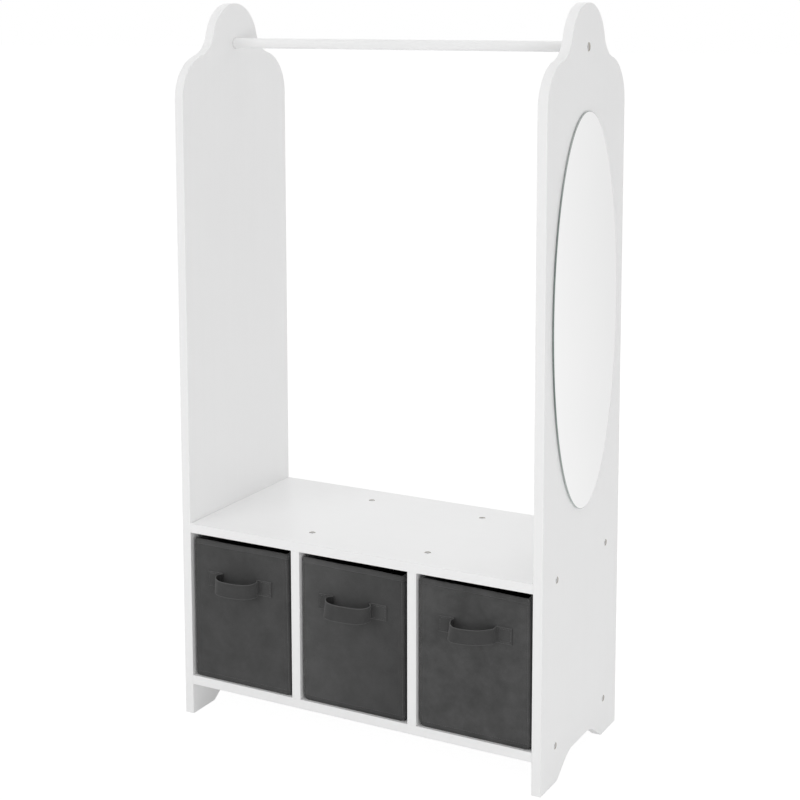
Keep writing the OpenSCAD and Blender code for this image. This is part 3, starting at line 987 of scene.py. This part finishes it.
def make_handle(loop, cloths):
    """A folded strap: two flat tabs on the bin's front and a loop between them."""
    low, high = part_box(loop.body + "_handle")
    face_y = high.y - 0.2 * MM
    middle = Vector((
        (low.x + high.x) / 2 + loop.shift_x, face_y, (low.z + high.z) / 2 + loop.shift_z
    ))
    ends = bend_line(loop.left.neck, 1), bend_line(loop.right.neck, -1)[::-1]
    line = np.vstack([ends[0], loop_line(loop), ends[1]])
    forward = np.gradient(line, axis=0)
    forward /= np.linalg.norm(forward, axis=1)[:, None]
    outward = np.column_stack([-forward[:, 1], forward[:, 0]])
    hanging = smooth_step(line[:, 1], 2 * MM, loop.reach)
    section = strap_section()
    rings = []
    for point, away, share in zip(line, outward, hanging):
        up, thick = section[:, 0], section[:, 1]
        across = point[0] + away[0] * thick + loop.lean_right * share * up
        ahead = point[1] + away[1] * thick + loop.lean_out * share * up
        rings.append(np.column_stack([
            middle.x + across, middle.y - ahead, middle.z - loop.droop * share + up
        ]))
    name = loop.body + "_handle"
    mesh = mesh_of(name, *loft(rings), cloths)
    on_fold_highlight = np.abs(section[:, 0]) > STRAP_HALF - FOLD_HIGHLIGHT_WIDTH
    on_tab = line[:, 1] < STRAP_THICK
    for face in mesh.polygons:
        around = [v % len(section) for v in face.vertices]
        along = [v // len(section) for v in face.vertices]
        # fold lines get a painted highlight; the inner face and cut ends get painted shade
        if all(on_fold_highlight[around]):
            face.material_index = FOLD_HIGHLIGHT
        elif min(around) >= STRAP_STEPS or len(around) == len(section):  # or a cut end, in painted shade
            face.material_index = INSIDE_SHADE
        elif all(on_tab[along]):
            face.material_index = TAB
        else:
            face.material_index = OUTSIDE
    show(name + ".strap", mesh, loop.body, [name])
    return middle


def make_tab_stitches(loop, middle, cotton):
    """A sewn rectangle on each of the strap's two tabs."""
    face_y = middle.y - STRAP_THICK - 0.05 * MM
    tall = STRAP_HALF - STRAP_EDGE
    shares = np.linspace(0, 1, 20)
    outward = np.tile((0, -1, 0), (len(shares), 1))
    rows = []
    for side, neck in ((-1, loop.left.neck), (1, loop.right.neck)):
        near, far = side * (neck + BEND + TAB_SEAM), side * (TAB_END - TAB_SEAM)
        corners = [(near, -tall), (far, -tall), (far, tall), (near, tall), (near, -tall)]
        for start, end in zip(corners, corners[1:]):
            points = [
                (middle.x + start[0] + (end[0] - start[0]) * share, face_y,
                 middle.z + start[1] + (end[1] - start[1]) * share)
                for share in shares
            ]
            rows.append(sewn(points, outward))
    mesh = mesh_of(loop.body + "_tab_stitches", *joined(rows), [cotton])
    show(loop.body + "_handle.stitches", mesh, loop.body)


# ---- stage -----------------------------------------------

SKY_LEVEL = 0.54                    # light from all round
FLOOR_SIZE = 60
FLOOR_COLOUR = (0.94, 0.94, 0.94, 1)
FLOOR_GLOW = 1.085
FLOOR_SHADE = 0.12                  # share of the floor's own shading that shows


def seen_directly(add, link):
    """A 0 or 1 for rays from the camera, a mirror or glass."""
    path = add("ShaderNodeLightPath")
    sum_one, sum_two = add("ShaderNodeMath"), add("ShaderNodeMath")
    sum_two.use_clamp = True
    link(path.outputs["Is Camera Ray"], sum_one.inputs[0])
    link(path.outputs["Is Glossy Ray"], sum_one.inputs[1])
    link(sum_one.outputs[0], sum_two.inputs[0])
    link(path.outputs["Is Transmission Ray"], sum_two.inputs[1])
    return sum_two.outputs[0]


def make_world():
    world = bpy.data.worlds.new("studio")
    bpy.context.scene.world = world
    world.use_nodes = True
    nodes, link = world.node_tree.nodes, world.node_tree.links.new
    level = nodes.new("ShaderNodeMapRange")
    level.inputs["To Min"].default_value = SKY_LEVEL
    level.inputs["To Max"].default_value = 1.0
    link(seen_directly(nodes.new, link), level.inputs["Value"])
    link(level.outputs["Result"], nodes["Background"].inputs["Strength"])
    nodes["Background"].inputs["Color"].default_value = (1, 1, 1, 1)


def make_floor():
    material = bpy.data.materials.new("pale_floor")
    material.use_nodes = True
    nodes, link = material.node_tree.nodes, material.node_tree.links.new
    shader = nodes["Principled BSDF"]
    shader.inputs["Base Color"].default_value = FLOOR_COLOUR
    shader.inputs["Roughness"].default_value = 0.9
    glow, mix = nodes.new("ShaderNodeEmission"), nodes.new("ShaderNodeMixShader")
    glow.inputs["Strength"].default_value = FLOOR_GLOW
    share = nodes.new("ShaderNodeMath")
    share.operation = "MULTIPLY"
    share.inputs[1].default_value = 1 - FLOOR_SHADE
    link(seen_directly(nodes.new, link), share.inputs[0])
    link(share.outputs[0], mix.inputs["Fac"])
    link(shader.outputs[0], mix.inputs[1])
    link(glow.outputs[0], mix.inputs[2])
    link(mix.outputs[0], nodes["Material Output"].inputs["Surface"])
    half = FLOOR_SIZE / 2
    corners = [(-half, -half, 0), (half, -half, 0), (half, half, 0), (-half, half, 0)]
    floor = bpy.data.objects.new("floor", mesh_of("floor", corners, [(0, 1, 2, 3)], [material]))
    bpy.context.scene.collection.objects.link(floor)


Lamp = namedtuple("Lamp", "name place target width height watts")
LAMPS = (
    Lamp("front_left", (-1.8, -2.8, 1.4), (0, 0, 0.5), 1.6, 1.6, 18),
    Lamp("front_right", (2.4, -2.8, 0.5), (0, 0, 0.4), 2.0, 1.0, 27),
    Lamp("side_right", (3.6, 0.4, 1.2), (0, 0, 0.5), 1.6, 1.6, 2.5),
    Lamp("rear_overhead", (0.2, 2.2, 3.0), (0, 0.1, 0.3), 2.0, 1.6, 19),
    Lamp("overhead", (0.0, -0.3, 4.0), (0, 0, 0), 2.0, 2.0, 24),
)


def make_lamp(lamp):
    data = bpy.data.lights.new(lamp.name, "AREA")
    data.shape = "RECTANGLE"
    data.size, data.size_y, data.energy = lamp.width, lamp.height, lamp.watts
    light = bpy.data.objects.new(lamp.name, data)
    light.location = lamp.place
    aim = Vector(lamp.target) - Vector(lamp.place)
    light.rotation_euler = aim.to_track_quat("-Z", "Y").to_euler()
    light.visible_camera = False
    light.visible_glossy = False
    bpy.context.scene.collection.objects.link(light)


# ---- assembly --------------------------------------------

def dress(nodes, material):
    """Gives carried-over nodes their material."""
    for name in nodes:
        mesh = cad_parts[name].data
        mesh.materials.clear()
        mesh.materials.append(material)


WHITE, SHADED_WHITE = tone(243), tone(239)
SATIN, DULL = 0.3, 0.5              # roughness of the paint
BRIGHT_ZINC, DULL_ZINC = 0.9, 0.4   # how metallic the screws look
LINING_LEVEL, BASE_BOARD_LEVEL = 80, 76
make_camera()
inside = raw_board()
for board in BOARDS:
    satin = paint(board.node + "_paint", WHITE, SHADED_WHITE, SATIN, board.grain_axis)
    ease_board(board, satin, inside)
dress(["hanging_rail"], paint("rail_paint", WHITE, SHADED_WHITE, SATIN, grain_axis=0))
dress(["back_panel"], paint("back_paint", tone(238), tone(233), DULL, grain_axis=2))
make_mirror(mirror_silver(), glass_edge(), arris_glass())
dress(["mirror_tape"], foam())
dress(
    ["left_panel_screws", "right_panel_screws", "rail_screws", "base_screws"],
    zinc("zinc", BRIGHT_ZINC)
)
dress(["shelf_screws"], zinc("dull_zinc", DULL_ZINC))
dress(["left_panel_dowels", "right_panel_dowels", "divider_dowels"], beech())
strap_cloths = [felted("strap_" + name, level, mottle=0.08) for name, level in STRAP_LEVELS]
lining_cloth = felted("lining_cloth", LINING_LEVEL)
board_cloth = felted("board_cloth", BASE_BOARD_LEVEL)
card, cotton = cardboard(), thread()
for box in BINS:
    plan = make_cover(box, bin_cloth(box))
    make_stitches(box, plan, cotton)
    make_lining(box, lining_cloth)
    make_base_board(box, board_cloth)
    make_wall_boards(box, card)
for loop in LOOPS:
    middle = make_handle(loop, strap_cloths)
    make_tab_stitches(loop, middle, cotton)
make_floor()
make_world()
for lamp in LAMPS:
    make_lamp(lamp)
bpy.context.scene.view_settings.view_transform = "Standard"
